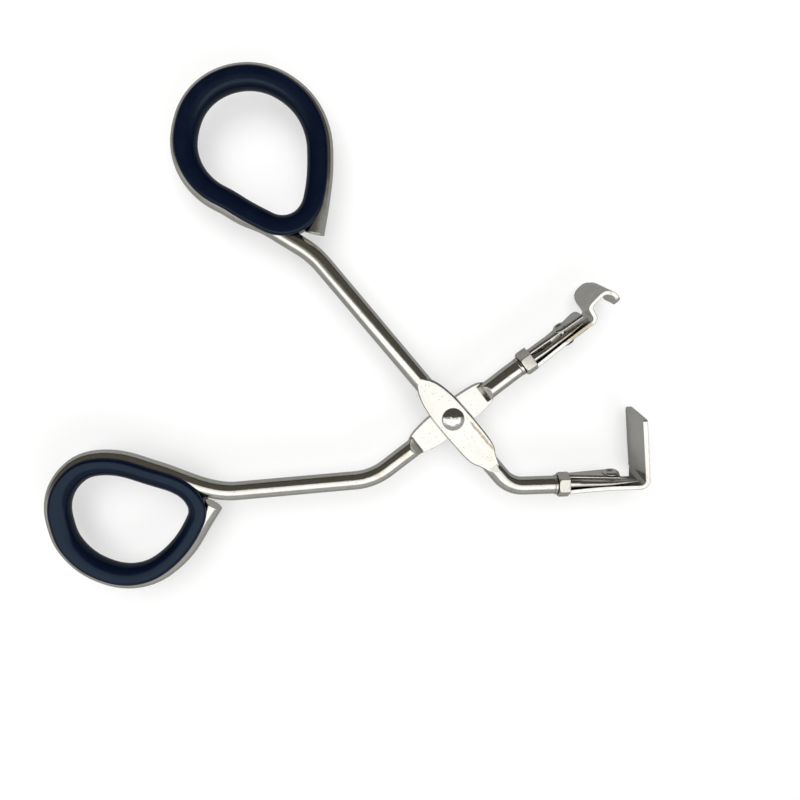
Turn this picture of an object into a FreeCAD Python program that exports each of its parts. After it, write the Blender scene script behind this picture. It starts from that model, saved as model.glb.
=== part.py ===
import FreeCAD, Part
import math
import os

# ---------------------------------------------------------------------------
# Hand gripping tool with two crossed rod arms, finger loops and formed jaws.
# Units are millimetres.  The origin is the pivot axis, halfway through the
# crossing.  +Z is the pivot axis and points out of the face that carries the
# L-jaw arm on top.  The pose is the open one.
# ---------------------------------------------------------------------------

# rods
ROD_R = 2.36              # both arms are bent from the same round rod
NECK_R = 1.95             # turned-down neck that carries the collars

# crossing
FLAT_TOP = 2.0            # outer face of each flattened half
FLAT_GAP = 0.04           # half of the running gap between the two flats
A_DIR = -50.0             # direction of the L-jaw arm through the pivot
B_DIR = 37.5              # direction of the hook-jaw arm through the pivot

# pivot rivet
PIN_R = 1.75
PIN_CLEAR = 0.05
HEAD_R = 2.85
HEAD_H = 1.02
HEAD_RIM = 0.10
HEAD_SIDE = 0.05

# jaw frames: start point on the rod axis, direction, roll about the rod
A_JAW = (19.4, -18.15, 0.8)
B_JAW = (14.72, 11.30, 35.9)
A_ROLL = 10.0
B_ROLL = 18.0
A_HEX_ROLL = -5.0         # facets of the collars, independent of the jaws
B_HEX_ROLL = 0.0

# collars
HEX_AF = 5.7              # across the flats
A_RING_R = 2.54
B_RING_R = 2.46
A_RING = (7.6, 8.45)
A_HEX = (8.5, 11.37)
B_RING = (2.6, 3.6)
B_HEX = (3.65, 6.75)

# sheet jaws
A_SHEET = 1.2
B_SHEET = 1.1
NEAR_W = 1.45             # edge of the sheet on the upper side
A_FAR_W = -10.7           # far edge of the gripping plates
B_FAR_W = -8.5
EAR_T = 0.72              # thinner upper wall of each jaw
A_EAR_NEAR = 0.25
B_EAR_NEAR = 0.75

# finger inserts
A_LIP_OUT = 1.15          # lip beyond the rod centre line
B_LIP_OUT = 0.75
A_INS_IN = 3.9            # rod centre line to the finger opening
B_INS_IN = 4.1
INS_Z = 3.35              # half depth of the insert
GROOVE_CLEAR = 0.02

os.makedirs("parts", exist_ok=True)

V = FreeCAD.Vector


def vec(a):
    return (math.cos(math.radians(a)), math.sin(math.radians(a)))


# ---------------------------------------------------------------------------
# planar paths made of lines and tangent arcs
# ---------------------------------------------------------------------------
def arc_piece(p, t, q):
    """Arc from p with unit tangent t ending at q, or a line."""
    dx, dy = q[0] - p[0], q[1] - p[1]
    n = (-t[1], t[0])
    h = dx * n[0] + dy * n[1]
    d2 = dx * dx + dy * dy
    if abs(h) < 1e-5 * math.sqrt(d2):
        return ("line", p, q)
    r = d2 / (2.0 * h)
    c = (p[0] + n[0] * r, p[1] + n[1] * r)
    a0 = math.atan2(p[1] - c[1], p[0] - c[0])
    a1 = math.atan2(q[1] - c[1], q[0] - c[0])
    sweep = a1 - a0
    if r > 0:
        while sweep <= 0:
            sweep += 2 * math.pi
    else:
        while sweep >= 0:
            sweep -= 2 * math.pi
    return ("arc", p, q, c, abs(r), a0, sweep)


def biarc(n0, n1):
    """Two tangent arcs between nodes given as x, y, direction in degrees."""
    p0, p1 = n0[:2], n1[:2]
    t0, t1 = vec(n0[2]), vec(n1[2])
    v = (p1[0] - p0[0], p1[1] - p0[1])
    vt = v[0] * (t0[0] + t1[0]) + v[1] * (t0[1] + t1[1])
    vv = v[0] ** 2 + v[1] ** 2
    tt = t0[0] * t1[0] + t0[1] * t1[1]
    cr0 = abs(v[0] * t0[1] - v[1] * t0[0]) / math.sqrt(vv)
    cr1 = abs(v[0] * t1[1] - v[1] * t1[0]) / math.sqrt(vv)
    if cr0 < 1e-4 and cr1 < 1e-4:
        return [("line", p0, p1)]
    den = 2.0 * (1.0 - tt)
    if den < 1e-9:
        d = vv / (4.0 * (v[0] * t1[0] + v[1] * t1[1]))
    else:
        d = (-vt + math.sqrt(vt * vt + den * vv)) / den
    m = ((p0[0] + p1[0] + d * (t0[0] - t1[0])) / 2.0,
         (p0[1] + p1[1] + d * (t0[1] - t1[1])) / 2.0)
    a = arc_piece(p0, t0, m)
    b = arc_piece(p1, (-t1[0], -t1[1]), m)
    if b[0] == "line":
        b = ("line", m, p1)
    else:
        b = ("arc", m, p1, b[3], b[4], b[5] + b[6], -b[6])
    return [a, b]


def chain(nodes, closed=False):
    out = []
    n = len(nodes)
    for i in range(n if closed else n - 1):
        out += biarc(nodes[i], nodes[(i + 1) % n])
    return out


def corner(p, d0, d1, r):
    """Nodes for a fillet of radius r at point p between two directions."""
    turn = math.radians((d1 - d0 + 180.0) % 360.0 - 180.0)
    k = r * abs(math.tan(turn / 2.0))
    a, b = vec(d0), vec(d1)
    return [(p[0] - a[0] * k, p[1] - a[1] * k, d0),
            (p[0] + b[0] * k, p[1] + b[1] * k, d1)]


def sweep_profile(path, face_maker):
    """Sweep a section along a path.  face_maker(p, t) gives the face at p."""
    solids = []
    for s in path:
        if s[0] == "line":
            p, q = s[1], s[2]
            L = math.hypot(q[0] - p[0], q[1] - p[1])
            t = ((q[0] - p[0]) / L, (q[1] - p[1]) / L)
            f = face_maker(p, t)
            solids.append(f.extrude(V(q[0] - p[0], q[1] - p[1], 0)))
        else:
            p, c, a0, sw = s[1], s[3], s[5], s[6]
            sg = 1.0 if sw > 0 else -1.0
            t = (-math.sin(a0) * sg, math.cos(a0) * sg)
            f = face_maker(p, t)
            solids.append(f.revolve(V(c[0], c[1], 0), V(0, 0, sg),
                                    math.degrees(abs(sw))))
    out = solids[0].fuse(solids[1:]) if len(solids) > 1 else solids[0]
    return out.removeSplitter()


def round_face(r):
    def make(p, t):
        c = Part.Circle(V(p[0], p[1], 0), V(t[0], t[1], 0), r)
        return Part.Face(Part.Wire([c.toShape()]))
    return make


# ---------------------------------------------------------------------------
# centre lines of the two arms, from the jaw end to the cut end of the loop
# ---------------------------------------------------------------------------
ua = vec(A_DIR)
ub = vec(B_DIR)


def cross_lines(p, d, q, e):
    a, b = vec(d), vec(e)
    den = a[0] * b[1] - a[1] * b[0]
    k = ((q[0] - p[0]) * b[1] - (q[1] - p[1]) * b[0]) / den
    return (p[0] + a[0] * k, p[1] + a[1] * k)


def on_line(p, d, k):
    a = vec(d)
    return (p[0] + a[0] * k, p[1] + a[1] * k)


# closed finger-loop centre lines, counter-clockwise
A_LOOP = [(-31.03, 65.60, 91.1), (-33.57, 74.54, 121.0), (-40.35, 81.01, 151.3),
          (-49.46, 83.08, 183.3), (-58.37, 80.18, 213.1), (-64.45, 72.61, 249.1),
          (-65.34, 63.31, 281.3), (-60.30, 55.30, 319.0), (-53.30, 51.15, 327.0),
          (-45.80, 47.10, 334.0), (-35.30, 48.70, 45.0), (-31.46, 57.95, 82.9)]
B_LOOP = [(-63.60, -25.65, 66.0), (-67.60, -15.20, 148.0), (-75.21, -12.12, 161.5),
          (-81.64, -9.85, 165.0), (-90.05, -9.17, 189.5), (-98.47, -14.58, 236.8),
          (-100.44, -24.11, 277.8), (-97.47, -32.07, 302.5), (-91.19, -38.02, 329.7),
          (-82.90, -40.70, 357.1), (-73.88, -38.21, 33.7), (-68.19, -33.10, 50.0)]


def inward(loop, amounts):
    """Move the nodes of a counter-clockwise loop towards its inside."""
    out = []
    for (x, y, d), k in zip(loop, amounts):
        t = vec(d)
        out.append((x - t[1] * k, y + t[0] * k, d))
    return out


A_LOOP = inward(A_LOOP, [0.65, 0.65, 0.75, 0.75, 0.75, 0.70, 0.50, 0.20, 0.10, 0.10, 0.20, 0.55])
B_LOOP = inward(B_LOOP, [0.0, 0.0, 0.0, 0.05, 0.30, 0.75, 0.60, 0.15, 0.0, 0.0, 0.0, 0.0])


def back(n):
    return (n[0], n[1], n[2] + 180.0)


A_corner = cross_lines(A_JAW[:2], A_JAW[2], (0, 0), A_DIR)
a_start = on_line(A_JAW[:2], A_JAW[2], A_RING[0])
A_NODES = [(a_start[0], a_start[1], A_JAW[2] + 180.0)]
A_NODES += corner(A_corner, A_JAW[2] + 180.0, A_DIR + 180.0, 7.5)
A_NODES += [(-32.2 * 1.0, 32.2 * math.tan(math.radians(50.0)), 130.0),
            (-43.6, 46.6, 148.0)]
A_NODES += [back(A_LOOP[8]), back(A_LOOP[7]), back(A_LOOP[6]), back(A_LOOP[5]),
            back(A_LOOP[4]), back(A_LOOP[3]), back(A_LOOP[2]), back(A_LOOP[1]),
            back(A_LOOP[0]), back(A_LOOP[11]), (-34.10, 45.75, 258.5)]

B_corner = cross_lines((0, 0), B_DIR, (-54.1, -18.0), 184.1)
b_start = on_line(B_JAW[:2], B_JAW[2], B_RING[0])
B_bend = cross_lines((0, 0), B_DIR, B_JAW[:2], B_JAW[2])
B_NODES = [(b_start[0], b_start[1], B_JAW[2] + 180.0)]
B_NODES += corner((B_JAW[0], B_JAW[1]), B_JAW[2] + 180.0, B_DIR + 180.0, 60.0)
B_NODES[-1] = (ub[0] * 17.6, ub[1] * 17.6, B_DIR + 180.0)
B_NODES += corner(B_corner, B_DIR + 180.0, 184.1, 15.0)
B_NODES += [(-54.6, -18.04, 184.1), (-65.6, -15.95, 158.0)]
B_NODES += [B_LOOP[2], B_LOOP[3], B_LOOP[4], B_LOOP[5], B_LOOP[6], B_LOOP[7],
            B_LOOP[8], B_LOOP[9], B_LOOP[10], B_LOOP[11],
            (-63.70, -26.10, 59.0), (-60.75, -21.45, 57.0)]


# ---------------------------------------------------------------------------
# jaw frames
# ---------------------------------------------------------------------------
def jaw_placement(j, roll):
    a = math.radians(j[2])
    U = V(math.cos(a), math.sin(a), 0)
    N = V(-math.sin(a), math.cos(a), 0)
    Z = V(0, 0, 1)
    r = math.radians(roll)
    Vv = N * math.cos(r) + Z * math.sin(r)
    W = Z * math.cos(r) - N * math.sin(r)
    m = FreeCAD.Matrix(U.x, Vv.x, W.x, j[0],
                       U.y, Vv.y, W.y, j[1],
                       U.z, Vv.z, W.z, 0,
                       0, 0, 0, 1)
    return FreeCAD.Placement(m)


PA = jaw_placement(A_JAW, A_ROLL)
PB = jaw_placement(B_JAW, B_ROLL)
PAH = jaw_placement(A_JAW, A_HEX_ROLL)
PBH = jaw_placement(B_JAW, B_HEX_ROLL)


def put(shape, pl):
    s = shape.copy()
    s.Placement = pl.multiply(s.Placement)
    return s


def poly_face(pts, w=0.0, plane="uv"):
    if plane == "uv":
        q = [V(p[0], p[1], w) for p in pts]
    elif plane == "uw":
        q = [V(p[0], w, p[1]) for p in pts]
    else:
        q = [V(w, p[0], p[1]) for p in pts]
    q.append(q[0])
    return Part.Face(Part.makePolygon(q))


def prism(pts, lo, hi, plane="uv"):
    f = poly_face(pts, lo, plane)
    d = {"uv": V(0, 0, hi - lo), "uw": V(0, hi - lo, 0), "vw": V(hi - lo, 0, 0)}[plane]
    return f.extrude(d)


def cyl(r, p, d, h):
    return Part.makeCylinder(r, h, V(*p), V(*d))


# ---------------------------------------------------------------------------
# arms
# ---------------------------------------------------------------------------
def leaf(scale=1.0):
    """Plan outline of a flattened crossing, along x, half width in y."""
    prof = [(-13.2, 1.15), (-11.6, 2.05), (-9.9, 2.85), (-7.6, 3.5), (-4.6, 3.95),
            (0.0, 4.15), (6.0, 4.15), (10.0, 4.0), (12.4, 3.55), (14.2, 2.65),
            (16.2, 1.9), (18.6, 1.25)]
    return prof


def leaf_b():
    return [(-13.4, 1.15), (-12.2, 2.15), (-10.6, 2.9), (-8.0, 3.4), (-5.0, 3.75),
            (0.0, 3.9), (5.0, 3.75), (8.2, 3.45), (10.6, 2.95), (12.0, 2.1), (13.2, 1.15)]


def smooth_outline(prof):
    """Closed plan outline with tangent arcs through the profile points."""
    up = prof
    n = len(up)
    dirs = []
    for i in range(n):
        a = up[max(0, i - 1)]
        b = up[min(n - 1, i + 1)]
        dirs.append(math.degrees(math.atan2(b[1] - a[1], b[0] - a[0])))
    nodes = [(up[i][0], up[i][1], dirs[i]) for i in range(n)]
    segs = chain(nodes)
    edges = []
    for s in segs:
        if s[0] == "line":
            edges.append(Part.LineSegment(V(s[1][0], s[1][1], 0), V(s[2][0], s[2][1], 0)).toShape())
        else:
            c, r, a0, sw = s[3], s[4], s[5], s[6]
            am = a0 + sw / 2.0
            m = V(c[0] + r * math.cos(am), c[1] + r * math.sin(am), 0)
            edges.append(Part.Arc(V(s[1][0], s[1][1], 0), m, V(s[2][0], s[2][1], 0)).toShape())
    low = []
    for e in edges:
        m = e.mirror(V(0, 0, 0), V(0, 1, 0))
        low.append(m)
    p0, p1 = up[0], up[-1]
    r0 = Part.Arc(V(p0[0], -p0[1], 0), V(p0[0] - 0.7, 0, 0), V(p0[0], p0[1], 0)).toShape()
    r1 = Part.Arc(V(p1[0], p1[1], 0), V(p1[0] + 0.7, 0, 0), V(p1[0], -p1[1], 0)).toShape()
    w = Part.Wire(Part.__sortEdges__(edges + low + [r0, r1]))
    return Part.Face(w)


def lapped(rod, prof, direction, x0, x1, k0, k1, side):
    """Replace the crossing of a rod by a half-thickness flat.

    side = +1 keeps the half above the joint plane, -1 the half below.
    The flat runs from x0 to x1; k0 and k1 are the run per rise of the ramps.
    """
    # space swept by the other arm, with sloping shoulders
    h = 6.0
    g = FLAT_GAP
    notch = prism([(x0 - k0 * h, -side * h), (x0, side * g),
                   (x1, side * g), (x1 + k1 * h, -side * h)], -6, 6, "uw")
    # the pressed outer face
    fx0, fx1 = prof[0][0], prof[-1][0]
    press = prism([(fx0 - 0.8, side * h), (fx0 - 0.8, side * (FLAT_TOP + 0.6)),
                   (fx0 + 1.6, side * FLAT_TOP),
                   (fx1 - 2.4, side * FLAT_TOP),
                   (fx1 + 0.8, side * (FLAT_TOP + 0.6)), (fx1 + 0.8, side * h)],
                  -6, 6, "uw")
    plan = smooth_outline(prof)
    lo, hi = (g, FLAT_TOP) if side > 0 else (-FLAT_TOP, -g)
    plan.translate(V(0, 0, lo))
    plate = plan.extrude(V(0, 0, hi - lo))
    # rounded rim on the upper face
    zr = FLAT_TOP if side > 0 else -g
    rim = [e for e in plate.Edges
           if abs(e.BoundBox.ZMin - zr) < 1e-4 and abs(e.BoundBox.ZMax - zr) < 1e-4]
    for r in ((0.45, 0.35) if side > 0 else (0.30, 0.20)):
        try:
            plate = plate.makeFillet(r, rim)
            break
        except Part.OCCError:
            print("flat rim left sharp at radius", r)
    rot = FreeCAD.Placement(V(0, 0, 0), FreeCAD.Rotation(V(0, 0, 1), direction))
    body = rod.cut(put(notch, rot)).cut(put(press, rot))
    body = body.fuse(put(plate, rot))
    return body


def rounded_box_loft(sections):
    """Ruled loft through elliptical sections (u, half v, half w, centre v, centre w)."""
    wires = []
    for u, a, b, cv, cw in sections:
        if a >= b:
            e = Part.Ellipse(V(u, cv + a, cw), V(u, cv, cw + b), V(u, cv, cw))
        else:
            e = Part.Ellipse(V(u, cv, cw + b), V(u, cv + a, cw), V(u, cv, cw))
        wires.append(Part.Wire([e.toShape()]))
    return Part.makeLoft(wires, True, True)


def octo(u, a, b, cv, cw, n=20):
    pts = []
    for i in range(n):
        t = 2 * math.pi * (i + 0.5) / n
        pts.append(V(u, cv + a * math.cos(t), cw + b * math.sin(t)))
    pts.append(pts[0])
    return Part.makePolygon(pts)


def tang(sections, tip_r):
    """Tapered and flattened rod end that lies between the jaw walls."""
    out = None
    for s0, s1 in zip(sections[:-1], sections[1:]):
        p = Part.makeLoft([octo(*s0), octo(*s1)], True, True)
        out = p if out is None else out.fuse(p)
    return out.removeSplitter()


# --- L-jaw arm ------------------------------------------------------------
rod_a = sweep_profile(chain(A_NODES), round_face(ROD_R))
arm_a = lapped(rod_a, leaf(), A_DIR, -9.6, 12.0, 0.53, 0.53, +1)

A_RIV = (23.2, -1.5)      # rivet position along the jaw and across the sheet
A_TANG = [(A_HEX[1] - 0.3, 1.30, 1.38, 0.25, 0.0),
          (20.0, 0.92, 2.00, 0.40, 0.0),
          (23.4, 0.78, 1.90, 0.38, -0.10),
          (27.0, 0.50, 1.15, 0.40, 0.10),
          (30.9, 0.16, 0.35, 0.24, 0.0)]
B_RIV = (16.9, -0.3)
B_TANG = [(B_HEX[1] - 0.3, 1.22, 1.40, -0.30, 0.0),
          (10.5, 0.88, 1.05, -0.48, 0.25),
          (18.6, 0.74, 0.95, -0.25, 0.40),
          (24.2, 0.25, 0.42, -0.25, 0.10)]


def jaw_end(ring, hexa, sections, riv, pl):
    neck = cyl(NECK_R, (ring[0] - 0.05, 0, 0), (1, 0, 0), hexa[1] - 0.02 - ring[0] + 0.05)
    t = tang(sections, 0.4)
    e = neck.fuse(t).removeSplitter()
    hole = cyl(0.80, (riv[0], -6, riv[1]), (0, 1, 0), 12)
    e = e.cut(hole)
    return put(e, pl)


arm_a = arm_a.fuse(jaw_end(A_RING, A_HEX, A_TANG, A_RIV, PA))
arm_a = arm_a.cut(cyl(PIN_R + PIN_CLEAR, (0, 0, -6), (0, 0, 1), 12))

# --- hook-jaw arm -----------------------------------------------------------
rod_b = sweep_profile(chain(B_NODES), round_face(ROD_R))
arm_b = lapped(rod_b, leaf_b(), B_DIR, -11.0, 9.6, 0.92, 1.0, -1)
arm_b = arm_b.fuse(jaw_end(B_RING, B_HEX, B_TANG, B_RIV, PB))
arm_b = arm_b.cut(cyl(PIN_R + 0.01, (0, 0, -6), (0, 0, 1), 12))

arm_a = arm_a.removeSplitter()
arm_b = arm_b.removeSplitter()


# ---------------------------------------------------------------------------
# pivot rivet: shank with a domed head on both faces
# ---------------------------------------------------------------------------
def pivot_rivet():
    z0 = FLAT_TOP + HEAD_SIDE
    z1 = z0 + HEAD_RIM
    R = HEAD_R
    rs = (R * R + HEAD_H * HEAD_H) / (2 * HEAD_H)
    half = math.asin(R / rs) / 2.0
    mid = (rs * math.sin(half), rs * math.cos(half) - rs + HEAD_H)
    zb = z0 - 0.05
    top = Part.Arc(V(0, 0, z1 + HEAD_H), V(mid[0], 0, z1 + mid[1]), V(R, 0, z1)).toShape()
    low = Part.Arc(V(R, 0, -zb - HEAD_RIM), V(mid[0], 0, -zb - HEAD_RIM - mid[1]),
                   V(0, 0, -zb - HEAD_RIM - HEAD_H)).toShape()
    pts = [(R, z1), (R, z0), (PIN_R, z0), (PIN_R, -zb), (R, -zb), (R, -zb - HEAD_RIM)]
    q = [V(x, 0, z) for x, z in pts]
    edges = [top] + [Part.LineSegment(m, n).toShape() for m, n in zip(q[:-1], q[1:])]
    edges += [low, Part.LineSegment(V(0, 0, -zb - HEAD_RIM - HEAD_H), V(0, 0, z1 + HEAD_H)).toShape()]
    f = Part.Face(Part.Wire(edges))
    return f.revolve(V(0, 0, 0), V(0, 0, 1), 360)


rivet = pivot_rivet()


# ---------------------------------------------------------------------------
# collars on the neck of each arm
# ---------------------------------------------------------------------------
def hex_collar(span, pl):
    r = HEX_AF / math.sqrt(3.0)
    pts = [(r * math.cos(math.radians(60 * i)), r * math.sin(math.radians(60 * i)))
           for i in range(6)]
    body = prism(pts, span[0], span[1], "vw")
    # corners rounded towards the ring, nearly sharp towards the jaw
    c = 0.38
    L = span[1] - span[0]
    env = [(span[0], 0), (span[0], r - c - 0.10), (span[0] + 0.22, r - 0.16), (span[0] + 0.62, r + 0.03),
           (span[1] - 0.10, r + 0.03), (span[1], r - 0.08), (span[1], 0)]
    q = [V(p[0], p[1], 0) for p in env]
    q.append(q[0])
    env = Part.Face(Part.makePolygon(q)).revolve(V(0, 0, 0), V(1, 0, 0), 360)
    body = body.common(env)
    body = body.cut(cyl(NECK_R + 0.01, (span[0] - 1, 0, 0), (1, 0, 0), L + 2))
    return put(body, pl)


def collar_ring(span, RING_R, pl):
    e = 0.20
    s0, s1 = span
    pts = [(s0, NECK_R + 0.01), (s0, RING_R - e), (s0 + e, RING_R), (s1 - e, RING_R),
           (s1, RING_R - e), (s1, NECK_R + 0.01)]
    q = [V(p[0], p[1], 0) for p in pts]
    q.append(q[0])
    return put(Part.Face(Part.makePolygon(q)).revolve(V(0, 0, 0), V(1, 0, 0), 360), pl)


hex_a = hex_collar(A_HEX, PAH)
hex_b = hex_collar(B_HEX, PBH)
ring_a = collar_ring(A_RING, A_RING_R, PA)
ring_b = collar_ring(B_RING, B_RING_R, PB)


# ---------------------------------------------------------------------------
# sheet-metal jaws
# ---------------------------------------------------------------------------
def strip_face(nodes, t, w):
    """Face of a bent strip of thickness t whose centre line passes the nodes."""
    path = chain(nodes)
    h = t / 2.0
    left, right = [], []

    def edge_of(s, off):
        if s[0] == "line":
            p, q = s[1], s[2]
            L = math.hypot(q[0] - p[0], q[1] - p[1])
            n = (-(q[1] - p[1]) / L * off, (q[0] - p[0]) / L * off)
            return Part.LineSegment(V(p[0] + n[0], p[1] + n[1], w),
                                    V(q[0] + n[0], q[1] + n[1], w)).toShape()
        c, r, a0, sw = s[3], s[4], s[5], s[6]
        rr = r - off if sw > 0 else r + off
        f = lambda a: V(c[0] + rr * math.cos(a), c[1] + rr * math.sin(a), w)
        return Part.Arc(f(a0), f(a0 + sw / 2.0), f(a0 + sw)).toShape()

    for s in path:
        left.append(edge_of(s, h))
        right.append(edge_of(s, -h))
    a = left[0].Vertexes[0].Point
    b = right[0].Vertexes[0].Point
    c = left[-1].Vertexes[-1].Point
    d = right[-1].Vertexes[-1].Point
    edges = left + right + [Part.LineSegment(a, b).toShape(), Part.LineSegment(c, d).toShape()]
    return Part.Face(Part.Wire(Part.__sortEdges__(edges)))


def ear(p0, p1, far_pts, near):
    """Upper side wall whose outer face runs from p0 to p1 (u, v).

    far_pts (u, w) limits it towards the far side; its near outer edge is
    bevelled.
    """
    t = EAR_T
    d = p1[0] - p0[0]
    k = (p1[1] - p0[1]) / d
    body = prism([p0, p1, (p1[0], p1[1] - t), (p0[0], p0[1] - t)], -7.0, near, "uv")
    c = 0.36
    # oblique wedge along the near outer edge
    tri = [V(p0[0] - 1, p0[1] - k - c, near + 0.01), V(p0[0] - 1, p0[1] - k + 0.5, near + 0.01),
           V(p0[0] - 1, p0[1] - k + 0.5, near - 0.5), V(p0[0] - 1, p0[1] - k, near - 0.5)]
    wedge = Part.Face(Part.makePolygon(tri + [tri[0]])).extrude(V(d + 2, k * (d + 2), 0))
    lim = prism(far_pts, -4, 4, "uw")
    return body.common(lim).cut(wedge)


# --- L plate ----------------------------------------------------------------
LJ0 = A_HEX[1] + 0.05
LEAN = 9.0
l_corner = (32.82, -1.03)
l_nodes = [(LJ0, -1.73, 4.2), (19.7, -1.17, 3.0)]
l_nodes += corner(l_corner, 0.6, 90.0 + LEAN, 1.75)
l_top = on_line(l_corner, 90.0 + LEAN, 19.1)
l_nodes += [(l_top[0], l_top[1], 90.0 + LEAN)]
l_strip = strip_face(l_nodes, A_SHEET, A_FAR_W - 0.5).extrude(V(0, 0, NEAR_W - A_FAR_W + 0.5))

# outline of the lower wall seen along its thickness; the plate keeps its width
l_side = prism([(LJ0 - 1, -20), (LJ0 - 1, -2.6), (18.0, -3.4), (22.4, -4.6), (29.9, -4.6),
                (31.0, -7.6), (32.25, A_FAR_W), (32.25, -20)], -8, 0.35, "uw")
l_strip = l_strip.cut(l_side)
# rounded corners at the top of the gripping plate
tv = l_top[1]
cr = 1.8
arc_pts = [(tv + 0.05 - cr + cr * math.sin(math.radians(a)), A_FAR_W + cr - cr * math.cos(math.radians(a)))
           for a in (90, 72, 54, 36, 18, 0)]
l_plan = prism([(-6, NEAR_W + 0.01), (tv - 0.50, NEAR_W + 0.01), (tv - 0.12, NEAR_W - 0.13),
                (tv + 0.05, NEAR_W - 0.50)] + arc_pts + [(-6, A_FAR_W)],
               LJ0 - 1, 40, "vw")
l_strip = l_strip.common(l_plan)

l_upper = ear((LJ0, 2.55), (27.0, 1.75),
              [(LJ0 - 1, 2), (LJ0 - 1, -1.5), (12.39, -1.71), (18.33, -3.22), (22.83, -4.30),
               (24.3, -4.80), (24.95, -4.85), (25.45, -4.55), (25.94, -3.74), (26.0, -2.55),
               (25.5, -0.5), (25.15, 2)], A_EAR_NEAR)
# web that joins the two walls on the far side
l_web = prism([(-1.90, -2.45), (1.30, -2.45), (2.30, -1.25), (2.28, -0.40), (1.68, -0.40),
               (1.68, -1.10), (1.05, -1.75), (-1.50, -1.75)], LJ0, 15.5, "vw")
l_jaw = l_strip.fuse(l_upper).fuse(l_web)
l_jaw = l_jaw.cut(cyl(0.80, (A_RIV[0], -6, A_RIV[1]), (0, 1, 0), 12)).removeSplitter()
l_jaw = put(l_jaw, PA)

# --- hook --------------------------------------------------------------------
HJ0 = B_HEX[1] + 0.05
h_corner = (25.70, -1.46)
h_nodes = [(HJ0, -2.16, 2.0), (13.0, -1.80, 3.0), (20.5, -1.53, 1.2)]
h_nodes += corner(h_corner, 1.0, 92.0, 1.25)
h_nodes += [(25.60, 1.65, 92.0), (26.78, 2.98, 12.0), (29.65, 3.52, 9.0),
            (31.33, 3.08, -38.0), (32.80, 0.50, -86.0), (32.72, -2.30, -98.0)]
h_strip = strip_face(h_nodes, B_SHEET, B_FAR_W - 0.5).extrude(V(0, 0, NEAR_W - B_FAR_W + 0.5))


def rounded_profile(pts, w):
    """Polygon in the v-w plane with fillets; pts are (v, w, radius)."""
    n = len(pts)
    edges = []
    ends = []
    for i in range(n):
        p0, p1, p2 = pts[i - 1], pts[i], pts[(i + 1) % n]
        a = (p0[0] - p1[0], p0[1] - p1[1])
        b = (p2[0] - p1[0], p2[1] - p1[1])
        la, lb = math.hypot(*a), math.hypot(*b)
        a = (a[0] / la, a[1] / la)
        b = (b[0] / lb, b[1] / lb)
        ang = math.acos(max(-1, min(1, a[0] * b[0] + a[1] * b[1])))
        r = p1[2]
        if r <= 0 or ang > math.pi - 1e-3:
            ends.append(((p1[0], p1[1]), None, (p1[0], p1[1])))
            continue
        k = r / math.tan(ang / 2.0)
        s = (p1[0] + a[0] * k, p1[1] + a[1] * k)
        e = (p1[0] + b[0] * k, p1[1] + b[1] * k)
        hb = (a[0] + b[0], a[1] + b[1])
        hl = math.hypot(*hb)
        d = r / math.sin(ang / 2.0)
        c = (p1[0] + hb[0] / hl * d, p1[1] + hb[1] / hl * d)
        m = (c[0] - hb[0] / hl * r, c[1] - hb[1] / hl * r)
        ends.append((s, m, e))
    for i in range(n):
        s, m, e = ends[i]
        if m is not None:
            edges.append(Part.Arc(V(w, s[0], s[1]), V(w, m[0], m[1]), V(w, e[0], e[1])).toShape())
        nx = ends[(i + 1) % n][0]
        if math.hypot(nx[0] - e[0], nx[1] - e[1]) > 1e-6:
            edges.append(Part.LineSegment(V(w, e[0], e[1]), V(w, nx[0], nx[1])).toShape())
    return Part.Face(Part.Wire(Part.__sortEdges__(edges)))


# The hook blank is trimmed in three zones: the base, the neck and plate, the tip.
base_lim = prism([(HJ0 - 1, NEAR_W), (HJ0 - 1, -2.1), (12.0, -2.6), (16.4, -3.3),
                  (20.6, -4.1), (27.0, -4.7), (27.0, NEAR_W)], -6, 1.35, "uw")
neck_lim = rounded_profile([(1.0, NEAR_W, 0), (1.0, -4.7, 0), (1.75, -4.7, 0.35),
                            (1.75, B_FAR_W - 0.2, 0), (7, B_FAR_W - 0.2, 0), (7, NEAR_W, 0)], HJ0 - 1)
neck_lim = neck_lim.extrude(V(34.0 - HJ0, 0, 0))
h_mid = h_strip.common(prism([(24.0, 1.2), (24.0, 6), (31.2, 6), (31.2, 1.2)], -12, 6, "uv"))
plan_mid = prism([(24.0, NEAR_W), (24.0, -4.7), (24.95, -4.7), (25.15, -5.5), (25.5, -6.5),
                  (26.13, -7.42), (27.0, -8.12), (28.03, -8.47), (28.9, -8.45), (29.75, -8.25),
                  (30.75, -7.76), (31.4, -7.0), (32, -6.6), (32, NEAR_W)],
                 -2, 8, "uw")
h_mid = h_mid.common(plan_mid).common(neck_lim)
h_base = h_strip.common(base_lim).common(
    prism([(HJ0 - 1, -6), (HJ0 - 1, 0), (24.2, 0), (24.2, 1.35), (27.3, 1.35), (27.3, -6)], -12, 6, "uv"))
tip_zone = prism([(31.1, 6), (36, 6), (36, -6), (30.4, -6), (30.4, -0.5), (31.1, 1.2)], -12, 6, "uv")
tip_lim = rounded_profile([(7, NEAR_W, 0), (7, -7.2, 0), (-0.1, -7.2, 2.2),
                           (-2.5, -6.0, 1.4), (-2.5, -1.4, 1.6), (-0.5, NEAR_W, 1.4)], 29)
tip_lim = tip_lim.extrude(V(7, 0, 0))
h_tip = h_strip.common(tip_zone).common(tip_lim)
hook = h_base.fuse(h_mid).fuse(h_tip)

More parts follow.
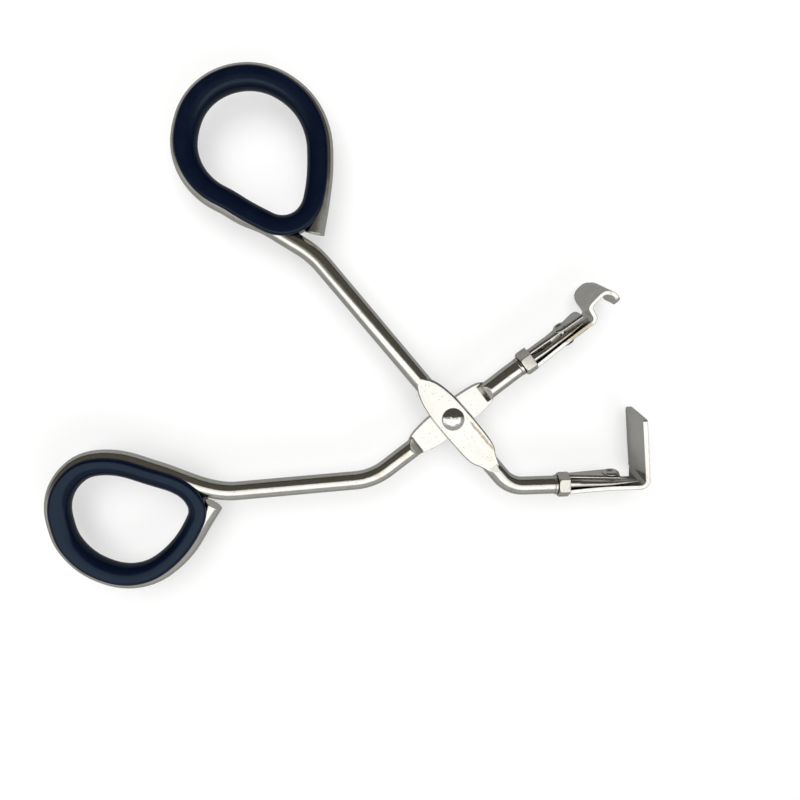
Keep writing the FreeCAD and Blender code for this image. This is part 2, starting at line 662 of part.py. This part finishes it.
h_upper = ear((HJ0, 2.10), (24.2, 1.75),
              [(HJ0 - 1, 2), (HJ0 - 1, -0.95), (12.75, -1.27), (16.91, -1.90), (19.88, -2.70),
               (21.3, -3.22), (22.2, -3.36), (22.88, -3.12), (23.25, -2.2), (23.3, 2)], B_EAR_NEAR)
h_web = prism([(-2.25, -2.15), (0.75, -2.15), (1.96, -0.80), (1.94, 0.0), (1.30, 0.0),
               (1.30, -0.75), (0.55, -1.50), (-2.00, -1.50)], HJ0, 13.5, "vw")
hook = hook.fuse(h_upper).fuse(h_web)
hook = hook.cut(cyl(0.80, (B_RIV[0], -6, B_RIV[1]), (0, 1, 0), 12)).removeSplitter()
hook = put(hook, PB)


# ---------------------------------------------------------------------------
# small cross rivets of the jaws
# ---------------------------------------------------------------------------
def cross_rivet(riv, v_lo, v_hi, pl):
    r = 0.79
    hr = 2.0
    hh = 0.60
    pts = [(v_lo - hh, 0), (v_lo - hh * 0.95, hr * 0.5), (v_lo - hh * 0.6, hr * 0.85), (v_lo - 0.08, hr),
           (v_lo, hr), (v_lo, r), (v_hi, r), (v_hi, hr), (v_hi + 0.12, hr), (v_hi + hh, hr * 0.78),
           (v_hi + hh, hr * 0.55), (v_hi + hh * 0.35, hr * 0.34), (v_hi + hh * 0.3, 0)]
    q = [V(riv[0] + p[1], p[0], riv[1]) for p in pts]
    q.append(q[0])
    f = Part.Face(Part.makePolygon(q))
    return put(f.revolve(V(riv[0], 0, riv[1]), V(0, 1, 0), 360), pl)


rivet_a = cross_rivet(A_RIV, -1.80, 2.09, PA)
rivet_b = cross_rivet(B_RIV, -2.32, 1.97, PB)


# ---------------------------------------------------------------------------
# finger inserts
# ---------------------------------------------------------------------------
def insert_face(p, t, INS_IN, LIP_OUT):
    """Section across the path; outward is to the right of the direction."""
    o = (t[1], -t[0])

    def pt(r, z):
        return V(p[0] + o[0] * r, p[1] + o[1] * r, z)

    cr_ = 0.98
    zt = INS_Z
    c0 = INS_Z - INS_IN
    k = cr_ * (1 - math.sqrt(0.5))
    e = [Part.Arc(pt(c0, zt), pt(-INS_IN, 0), pt(c0, -zt)).toShape(),
         Part.LineSegment(pt(c0, -zt), pt(LIP_OUT - cr_, -zt)).toShape(),
         Part.Arc(pt(LIP_OUT - cr_, -zt), pt(LIP_OUT - k, -zt + k), pt(LIP_OUT, -zt + cr_)).toShape(),
         Part.LineSegment(pt(LIP_OUT, -zt + cr_), pt(LIP_OUT, zt - cr_)).toShape(),
         Part.Arc(pt(LIP_OUT, zt - cr_), pt(LIP_OUT - k, zt - k), pt(LIP_OUT - cr_, zt)).toShape(),
         Part.LineSegment(pt(LIP_OUT - cr_, zt), pt(c0, zt)).toShape()]
    return Part.Face(Part.Wire(e))


def insert(loop, nodes, depth, lip):
    ring = sweep_profile(chain(loop, True), lambda p, t: insert_face(p, t, depth, lip))
    groove = sweep_profile(chain(nodes), round_face(ROD_R + GROOVE_CLEAR))
    return ring.cut(groove)


# The grooves follow the arms; the open end is extended so that the insert
# leaves the cut end of the rod free.
grip_a = insert(A_LOOP, A_NODES[3:] + [(-34.10 - 0.55, 45.75 - 2.6, 258.5)], A_INS_IN, A_LIP_OUT)
grip_b = insert(B_LOOP, B_NODES[5:] + [(-60.75 + 1.1, -21.45 + 1.7, 57.0)], B_INS_IN, B_LIP_OUT)

# ---------------------------------------------------------------------------
# export
# ---------------------------------------------------------------------------
NODES = {
    "l_jaw_arm": arm_a,
    "hook_jaw_arm": arm_b,
    "pivot_rivet": rivet,
    "l_jaw_hex_collar": hex_a,
    "l_jaw_collar_ring": ring_a,
    "l_jaw_plate": l_jaw,
    "l_jaw_cross_rivet": rivet_a,
    "hook_jaw_hex_collar": hex_b,
    "hook_jaw_collar_ring": ring_b,
    "hook_jaw_scoop": hook,
    "hook_jaw_cross_rivet": rivet_b,
    "l_arm_finger_insert": grip_a,
    "hook_arm_finger_insert": grip_b,
}
for name, shape in NODES.items():
    sol = shape.Solids
    if len(sol) == 1:
        shape = sol[0]
    print(name, "solids", len(sol), "valid", shape.isValid(), "vol %.1f" % shape.Volume,
          "bb %.1f %.1f %.1f %.1f %.1f %.1f" % (shape.BoundBox.XMin, shape.BoundBox.XMax,
                                                shape.BoundBox.YMin, shape.BoundBox.YMax,
                                                shape.BoundBox.ZMin, shape.BoundBox.ZMax))
    shape.exportStep("parts/%s.step" % name)
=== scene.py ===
import bpy
import math
from mathutils import Matrix, Vector


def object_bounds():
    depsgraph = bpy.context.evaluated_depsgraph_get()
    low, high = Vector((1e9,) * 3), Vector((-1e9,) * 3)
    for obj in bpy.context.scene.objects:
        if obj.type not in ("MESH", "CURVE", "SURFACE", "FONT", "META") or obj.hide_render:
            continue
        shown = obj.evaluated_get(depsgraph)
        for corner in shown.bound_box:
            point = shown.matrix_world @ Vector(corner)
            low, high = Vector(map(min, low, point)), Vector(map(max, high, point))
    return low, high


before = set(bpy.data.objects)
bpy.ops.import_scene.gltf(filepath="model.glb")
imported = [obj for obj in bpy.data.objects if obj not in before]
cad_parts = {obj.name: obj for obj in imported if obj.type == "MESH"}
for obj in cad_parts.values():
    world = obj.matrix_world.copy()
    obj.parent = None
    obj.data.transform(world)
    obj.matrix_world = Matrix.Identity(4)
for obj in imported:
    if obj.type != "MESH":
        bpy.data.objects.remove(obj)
cad_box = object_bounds()

scene = bpy.context.scene
scene.view_settings.view_transform = "Standard"
scene.view_settings.look = "None"
scene.view_settings.exposure = 0.0
scene.view_settings.gamma = 1.0


# ---------------------------------------------------------------------------
# camera: a close view from above, a little left of and behind the pivot
# ---------------------------------------------------------------------------
cam_data = bpy.data.cameras.new("camera")
cam_data.lens = 31.5
cam_data.sensor_width = 36.0
cam_data.clip_start = 0.005
cam_data.clip_end = 20.0
cam = bpy.data.objects.new("camera", cam_data)
scene.collection.objects.link(cam)
m = Matrix.Identity(4)
for col, v in enumerate(((0.9973, 0.0, 0.0733), (0.0107, 0.9893, -0.1452),
                         (-0.0725, 0.1456, 0.9867))):
    v = Vector(v).normalized()
    for row in range(3):
        m[row][col] = v[row]
m[0][3], m[1][3], m[2][3] = -0.02620, 0.03062, 0.175
cam.matrix_world = m
scene.camera = cam


# ---------------------------------------------------------------------------
# node helpers
# ---------------------------------------------------------------------------
class Tree:
    def __init__(self, tree):
        self.t = tree
        tree.nodes.clear()

    def add(self, kind, **props):
        n = self.t.nodes.new(kind)
        for k, v in props.items():
            setattr(n, k, v)
        return n

    def link(self, a, b):
        self.t.links.new(a, b)

    def value(self, socket, x):
        if hasattr(x, "is_output"):
            self.link(x, socket)
        else:
            socket.default_value = x

    def math(self, op, a, b=None, clamp=False):
        n = self.add("ShaderNodeMath", operation=op, use_clamp=clamp)
        self.value(n.inputs[0], a)
        if b is not None:
            self.value(n.inputs[1], b)
        return n.outputs[0]

    def noise(self, vec, scale, detail=3.0, rough=0.55, distort=0.0):
        n = self.add("ShaderNodeTexNoise")
        n.inputs["Scale"].default_value = scale
        n.inputs["Detail"].default_value = detail
        n.inputs["Roughness"].default_value = rough
        n.inputs["Distortion"].default_value = distort
        self.link(vec, n.inputs["Vector"])
        return n.outputs["Fac"]

    def stretched(self, vec, scale, rot=(0, 0, 0)):
        n = self.add("ShaderNodeMapping")
        n.inputs["Scale"].default_value = scale
        n.inputs["Rotation"].default_value = rot
        self.link(vec, n.inputs["Vector"])
        return n.outputs["Vector"]

    def remap(self, x, a, b, c=0.0, d=1.0, smooth=False):
        n = self.add("ShaderNodeMapRange")
        n.clamp = True
        if smooth:
            n.interpolation_type = "SMOOTHSTEP"
        n.inputs["From Min"].default_value = a
        n.inputs["From Max"].default_value = b
        n.inputs["To Min"].default_value = c
        n.inputs["To Max"].default_value = d
        self.link(x, n.inputs["Value"])
        return n.outputs["Result"]

    def mix(self, fac, a, b):
        n = self.add("ShaderNodeMix", data_type="RGBA")
        self.value(n.inputs[0], fac)
        for s, x in ((n.inputs[6], a), (n.inputs[7], b)):
            if hasattr(x, "is_output"):
                self.link(x, s)
            else:
                s.default_value = (*x, 1.0)
        return n.outputs[2]

    def bump(self, height, distance, strength=1.0, normal=None):
        n = self.add("ShaderNodeBump")
        n.inputs["Strength"].default_value = strength
        n.inputs["Distance"].default_value = distance
        self.link(height, n.inputs["Height"])
        if normal is not None:
            self.link(normal, n.inputs["Normal"])
        return n.outputs["Normal"]

    def edge(self, radius):
        """Rounded normal and a mask that is 1 along convex and concave edges."""
        bev = self.add("ShaderNodeBevel", samples=6)
        bev.inputs["Radius"].default_value = radius
        geo = self.add("ShaderNodeNewGeometry")
        dot = self.add("ShaderNodeVectorMath", operation="DOT_PRODUCT")
        self.link(bev.outputs["Normal"], dot.inputs[0])
        self.link(geo.outputs["True Normal"], dot.inputs[1])
        mask = self.remap(dot.outputs["Value"], 0.985, 0.86, 0.0, 1.0)
        return bev.outputs["Normal"], mask


def _crevice(self, distance, lo=0.80, hi=0.42):
    """Mask that is 1 in narrow gaps and inside corners, used to paint shade into the colour there."""
    ao = self.add("ShaderNodeAmbientOcclusion", samples=8)
    ao.inputs["Distance"].default_value = distance
    return self.remap(ao.outputs["AO"], lo, hi, 0.0, 1.0, True)


def _blob(self, co, centre, angle, half, noise_scale=1100.0):
    """Elongated soft patch lying on the part at a fixed place, with a ragged rim."""
    a = math.radians(angle)
    sub = self.add("ShaderNodeVectorMath", operation="SUBTRACT")
    self.link(co, sub.inputs[0])
    sub.inputs[1].default_value = centre
    sq = []
    for axis, h in (((math.cos(a), math.sin(a), 0.0), half[0]),
                    ((-math.sin(a), math.cos(a), 0.0), half[1])):
        dot = self.add("ShaderNodeVectorMath", operation="DOT_PRODUCT")
        self.link(sub.outputs["Vector"], dot.inputs[0])
        dot.inputs[1].default_value = axis
        q = self.math("DIVIDE", dot.outputs["Value"], h)
        sq.append(self.math("MULTIPLY", q, q))
    d = self.math("ADD", sq[0], sq[1])
    ragged = self.remap(self.noise(co, noise_scale, 4.0, 0.6), 0.3, 0.7, -0.60, 0.60)
    return self.remap(self.math("ADD", d, ragged), 1.0, 0.25, 0.0, 1.0, True)


Tree.crevice = _crevice
Tree.blob = _blob


def new_material(name):
    mat = bpy.data.materials.new(name)
    mat.use_nodes = True
    return mat, Tree(mat.node_tree)


def metal(name, base, warm, dark, rough=(0.08, 0.20), stain=0.5, wave=1.0,
          grain=1.0, edge_r=0.00030, edge_bright=(0.86, 0.85, 0.82), spots=(), wave_scale=260.0, corner=0.0):
    """Bright nickel plate: colour drift, faint yellow film, handling marks, soft waviness, and painted shade
    in narrow gaps and inside folds.
    """
    mat, t = new_material(name)
    out = t.add("ShaderNodeOutputMaterial")
    bsdf = t.add("ShaderNodeBsdfPrincipled")
    bsdf.inputs["Metallic"].default_value = 1.0
    t.link(bsdf.outputs[0], out.inputs["Surface"])
    co = t.add("ShaderNodeTexCoord").outputs["Object"]

    rounded, worn = t.edge(edge_r)

    # colour: clean plate, patches of yellow film, small grey pits, then painted shade inside folds and in
    # narrow gaps
    drift = t.remap(t.noise(co, 95.0, 4.0, 0.6, 0.6), 0.35, 0.68)
    film = t.remap(t.noise(co, 150.0, 5.0, 0.62, 1.2), 0.56, 0.70, 0.0, stain, True)
    pits = t.remap(t.noise(co, 2600.0, 2.0, 0.5), 0.66, 0.74, 0.0, 0.55)
    speck = t.add("ShaderNodeTexVoronoi", feature="F1")
    speck.inputs["Scale"].default_value = 900.0
    t.link(co, speck.inputs["Vector"])
    speck = t.remap(speck.outputs["Distance"], 0.10, 0.16, 0.6, 0.0)
    col = t.mix(drift, base, [c * 0.90 for c in base])
    col = t.mix(film, col, warm)
    col = t.mix(t.math("MULTIPLY", pits, drift), col, dark)
    col = t.mix(speck, col, dark)
    col = t.mix(t.math("MULTIPLY", worn, 0.35), col, edge_bright)
    for centre, angle, half, amount, tint in spots:
        col = t.mix(t.math("MULTIPLY", t.blob(co, centre, angle, half), amount), col, tint)
    if corner:
        # painted shade: the colour darkens towards the inside of the fold, over several millimetres
        fold_shade_mask = t.crevice(0.0090, 0.98, 0.45)
        col = t.mix(t.math("MULTIPLY", fold_shade_mask, corner), col, (0.16, 0.155, 0.14))
    # painted shade: colour pulled to near black in narrow gaps and between parts, where shadow falls
    col = t.mix(t.math("MULTIPLY", t.crevice(0.0007), 0.85), col, (0.035, 0.032, 0.026))
    t.link(col, bsdf.inputs["Base Color"])

    # roughness: polished with rubbed patches and fine scratches
    rub = t.noise(co, 420.0, 5.0, 0.65, 0.4)
    r = t.remap(rub, 0.30, 0.72, rough[0], rough[1])
    s1 = t.noise(t.stretched(co, (1.0, 9.0, 4.0), (0.0, 0.0, math.radians(35))), 1500.0, 2.0)
    s2 = t.noise(t.stretched(co, (9.0, 1.0, 4.0), (0.0, 0.0, math.radians(20))), 1300.0, 2.0)
    scr = t.math("MAXIMUM", t.remap(s1, 0.64, 0.72), t.remap(s2, 0.66, 0.74))
    r = t.math("ADD", r, t.math("MULTIPLY", scr, 0.10))
    r = t.math("ADD", r, t.math("MULTIPLY", film, 0.12))
    r = t.math("ADD", r, t.math("MULTIPLY", worn, 0.06), clamp=True)
    t.link(r, bsdf.inputs["Roughness"])

    # relief: soft waviness under the plate, then grain and scratches
    w = t.noise(co, wave_scale, 2.0, 0.5)
    n0 = t.bump(w, 0.00010 * wave, 0.35, rounded)
    g = t.math("SUBTRACT", t.math("MULTIPLY", t.noise(co, 2200.0, 3.0, 0.6), grain), scr)
    n1 = t.bump(g, 0.0000022, 0.6, n0)
    t.link(n1, bsdf.inputs["Normal"])
    return mat


STREAK = (0.40, 0.32, 0.20)
rod_mat = metal("nickel_rod", (0.80, 0.788, 0.745), (0.66, 0.585, 0.44), (0.36, 0.32, 0.26),
                rough=(0.07, 0.17), stain=0.45, edge_r=0.0004,
                spots=(((0.00737, -0.00426, 0.002), -50.0, (0.0072, 0.00042), 0.90, STREAK),))
hook_rod_mat = metal("nickel_rod_hook", (0.80, 0.788, 0.745), (0.66, 0.585, 0.44), (0.36, 0.32, 0.26),
                     rough=(0.07, 0.17), stain=0.50, edge_r=0.0004,
                     spots=(((0.0290, 0.0212, 0.0), 35.9, (0.0050, 0.0012), 0.55, STREAK),))
# the jaw sheet gets painted shade inside its fold (corner=0.75)
sheet_mat = metal("nickel_sheet", (0.80, 0.785, 0.75), (0.67, 0.58, 0.42), (0.34, 0.30, 0.24),
                  rough=(0.10, 0.24), stain=0.65, wave=1.3, corner=0.75)
hook_sheet_mat = metal("nickel_sheet_hook", (0.80, 0.785, 0.75), (0.67, 0.58, 0.42), (0.34, 0.30, 0.24),
                       rough=(0.10, 0.24), stain=0.65, wave=1.3,
                       spots=(((0.0322, 0.0218, 0.001), 35.9, (0.0050, 0.0011), 0.80, STREAK),))
collar_mat = metal("nickel_collar", (0.78, 0.755, 0.70), (0.62, 0.52, 0.36), (0.30, 0.26, 0.20),
                   rough=(0.12, 0.27), stain=0.75, wave=0.6)
rivet_mat = metal("rivet_steel", (0.80, 0.79, 0.77), (0.64, 0.55, 0.42), (0.28, 0.25, 0.21),
                  rough=(0.09, 0.20), stain=0.35, wave=4.0, wave_scale=620.0)


def plastic(name):
    """Glossy navy plastic with a faint peel, rubbed patches and a little dust."""
    mat, t = new_material(name)
    out = t.add("ShaderNodeOutputMaterial")
    bsdf = t.add("ShaderNodeBsdfPrincipled")
    bsdf.inputs["Metallic"].default_value = 0.0
    bsdf.inputs["IOR"].default_value = 1.40
    bsdf.inputs["Specular Tint"].default_value = (0.60, 0.82, 1.0, 1.0)
    t.link(bsdf.outputs[0], out.inputs["Surface"])
    co = t.add("ShaderNodeTexCoord").outputs["Object"]
    rounded, worn = t.edge(0.0003)
    drift = t.remap(t.noise(co, 70.0, 4.0, 0.6, 0.5), 0.35, 0.68)
    col = t.mix(drift, (0.0008, 0.0024, 0.0105), (0.0018, 0.0046, 0.0160))
    dust = t.remap(t.noise(co, 3400.0, 2.0, 0.5), 0.70, 0.78, 0.0, 0.35)
    col = t.mix(dust, col, (0.020, 0.030, 0.048))
    col = t.mix(t.math("MULTIPLY", worn, 0.35), col, (0.012, 0.019, 0.034))
    t.link(col, bsdf.inputs["Base Color"])
    rub = t.noise(co, 240.0, 5.0, 0.6, 0.5)
    r = t.remap(rub, 0.30, 0.72, 0.17, 0.30)
    s1 = t.noise(t.stretched(co, (1.0, 10.0, 4.0), (0.0, 0.0, math.radians(65))), 1200.0, 2.0)
    scr = t.remap(s1, 0.66, 0.74)
    r = t.math("ADD", r, t.math("MULTIPLY", scr, 0.12))
    r = t.math("ADD", r, t.math("MULTIPLY", worn, 0.08), clamp=True)
    t.link(r, bsdf.inputs["Roughness"])
    peel = t.noise(co, 520.0, 3.0, 0.5)
    n0 = t.bump(peel, 0.00006, 0.25, rounded)
    g = t.math("SUBTRACT", t.noise(co, 2400.0, 3.0, 0.6), scr)
    n1 = t.bump(g, 0.0000025, 0.5, n0)
    t.link(n1, bsdf.inputs["Normal"])
    return mat


plastic_mat = plastic("navy_plastic_gloss")

FINISH = {
    "l_jaw_arm": rod_mat,
    "hook_jaw_arm": hook_rod_mat,
    "pivot_rivet": rivet_mat,
    "l_jaw_hex_collar": collar_mat,
    "l_jaw_collar_ring": collar_mat,
    "l_jaw_plate": sheet_mat,
    "l_jaw_cross_rivet": rivet_mat,
    "hook_jaw_hex_collar": collar_mat,
    "hook_jaw_collar_ring": collar_mat,
    "hook_jaw_scoop": hook_sheet_mat,
    "hook_jaw_cross_rivet": rivet_mat,
    "l_arm_finger_insert": plastic_mat,
    "hook_arm_finger_insert": plastic_mat,
}
for name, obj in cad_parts.items():
    for s in obj.material_slots:
        s.material = FINISH[name]


# ---------------------------------------------------------------------------
# floor, world and lights
# ---------------------------------------------------------------------------
floor_mesh = bpy.data.meshes.new("floor")
S = 3.0
zf = cad_box[0].z - 0.0001
floor_mesh.from_pydata([(-S, -S, zf), (S, -S, zf), (S, S, zf), (-S, S, zf)], [], [(0, 1, 2, 3)])
floor = bpy.data.objects.new("floor", floor_mesh)
scene.collection.objects.link(floor)
mat, t = new_material("pale_floor")
out = t.add("ShaderNodeOutputMaterial")
bsdf = t.add("ShaderNodeBsdfPrincipled")
bsdf.inputs["Roughness"].default_value = 0.9
bsdf.inputs["Specular IOR Level"].default_value = 0.1
t.link(bsdf.outputs[0], out.inputs["Surface"])
co = t.add("ShaderNodeTexCoord").outputs["Object"]
t.link(t.mix(t.noise(co, 6.0, 2.0), (0.50, 0.50, 0.50), (0.51, 0.51, 0.51)),
       bsdf.inputs["Base Color"])
bsdf.inputs["Emission Color"].default_value = (1.0, 1.0, 1.0, 1.0)
bsdf.inputs["Emission Strength"].default_value = 0.44
floor_mesh.materials.append(mat)
floor.visible_glossy = False

# pale backdrop all round, seen behind the part in low views; it neither lights
# the part nor shows in the plating
RINGS, SEG, RB = 12, 32, 2.9
verts, faces = [], []
for i in range(RINGS + 1):
    a = -0.3 + (math.pi / 2 + 0.3) * i / RINGS
    for j in range(SEG):
        b = 2 * math.pi * j / SEG
        verts.append((RB * math.cos(a) * math.cos(b), RB * math.cos(a) * math.sin(b), RB * math.sin(a)))
for i in range(RINGS):
    for j in range(SEG):
        k = (j + 1) % SEG
        faces.append((i * SEG + j, i * SEG + k, (i + 1) * SEG + k, (i + 1) * SEG + j))
drop_mesh = bpy.data.meshes.new("backdrop")
drop_mesh.from_pydata(verts, [], faces)
drop = bpy.data.objects.new("backdrop", drop_mesh)
scene.collection.objects.link(drop)
mat, t = new_material("backdrop_paper")
out = t.add("ShaderNodeOutputMaterial")
em = t.add("ShaderNodeEmission")
co = t.add("ShaderNodeTexCoord").outputs["Object"]
t.link(t.mix(t.noise(co, 1.5, 2.0), (0.62, 0.62, 0.62), (0.66, 0.66, 0.655)), em.inputs["Color"])
t.link(em.outputs[0], out.inputs["Surface"])
drop_mesh.materials.append(mat)
drop.visible_glossy = False
drop.visible_diffuse = False
drop.visible_transmission = False
drop.visible_shadow = False

world = bpy.data.worlds.new("studio")
scene.world = world
world.use_nodes = True
t = Tree(world.node_tree)
out = t.add("ShaderNodeOutputWorld")
bg = t.add("ShaderNodeBackground")
t.link(bg.outputs[0], out.inputs["Surface"])
co = t.add("ShaderNodeTexCoord").outputs["Generated"]
sep = t.add("ShaderNodeSeparateXYZ")
t.link(co, sep.inputs[0])
x, y, z = sep.outputs
side = t.remap(y, -0.25, 0.15, 0.0, 1.0, True)             # 0 in front, 1 behind
horizon = t.mix(t.remap(z, 0.10, 0.28, 0.0, 1.0, True), (0.022, 0.021, 0.018), (0.085, 0.078, 0.066))
upper = t.mix(side, (0.42, 0.42, 0.41), horizon)
lower = (0.33, 0.33, 0.32)
col = t.mix(t.remap(z, -0.05, 0.03, 0.0, 1.0, True), lower, upper)
t.link(col, bg.inputs["Color"])
bg.inputs["Strength"].default_value = 1.0


def area(name, centre, target, size, radiance, glossy=True, diffuse=True):
    d = bpy.data.lights.new(name, "AREA")
    d.shape = "RECTANGLE"
    d.size, d.size_y = size
    d.energy = radiance * math.pi * size[0] * size[1]
    o = bpy.data.objects.new(name, d)
    scene.collection.objects.link(o)
    o.location = centre
    o.rotation_mode = "QUATERNION"
    o.rotation_quaternion = (Vector(target) - Vector(centre)).to_track_quat("-Z", "Y")
    o.visible_camera = False
    o.visible_glossy = glossy
    o.visible_diffuse = diffuse
    return o


# panel seen in the rods as their white line
area("front_panel", (0.000, -0.051, 0.100), (0.000, -0.051, 0.0), (0.340, 0.118), 0.95,
     diffuse=False)
# broad soft light for the floor and the plastic
area("key", (-0.10, 0.25, 0.70), (-0.02, 0.02, 0.0), (0.70, 0.70), 3.85, glossy=False)
area("fill", (0.25, -0.45, 0.60), (-0.02, 0.02, 0.0), (0.60, 0.60), 1.80, glossy=False)
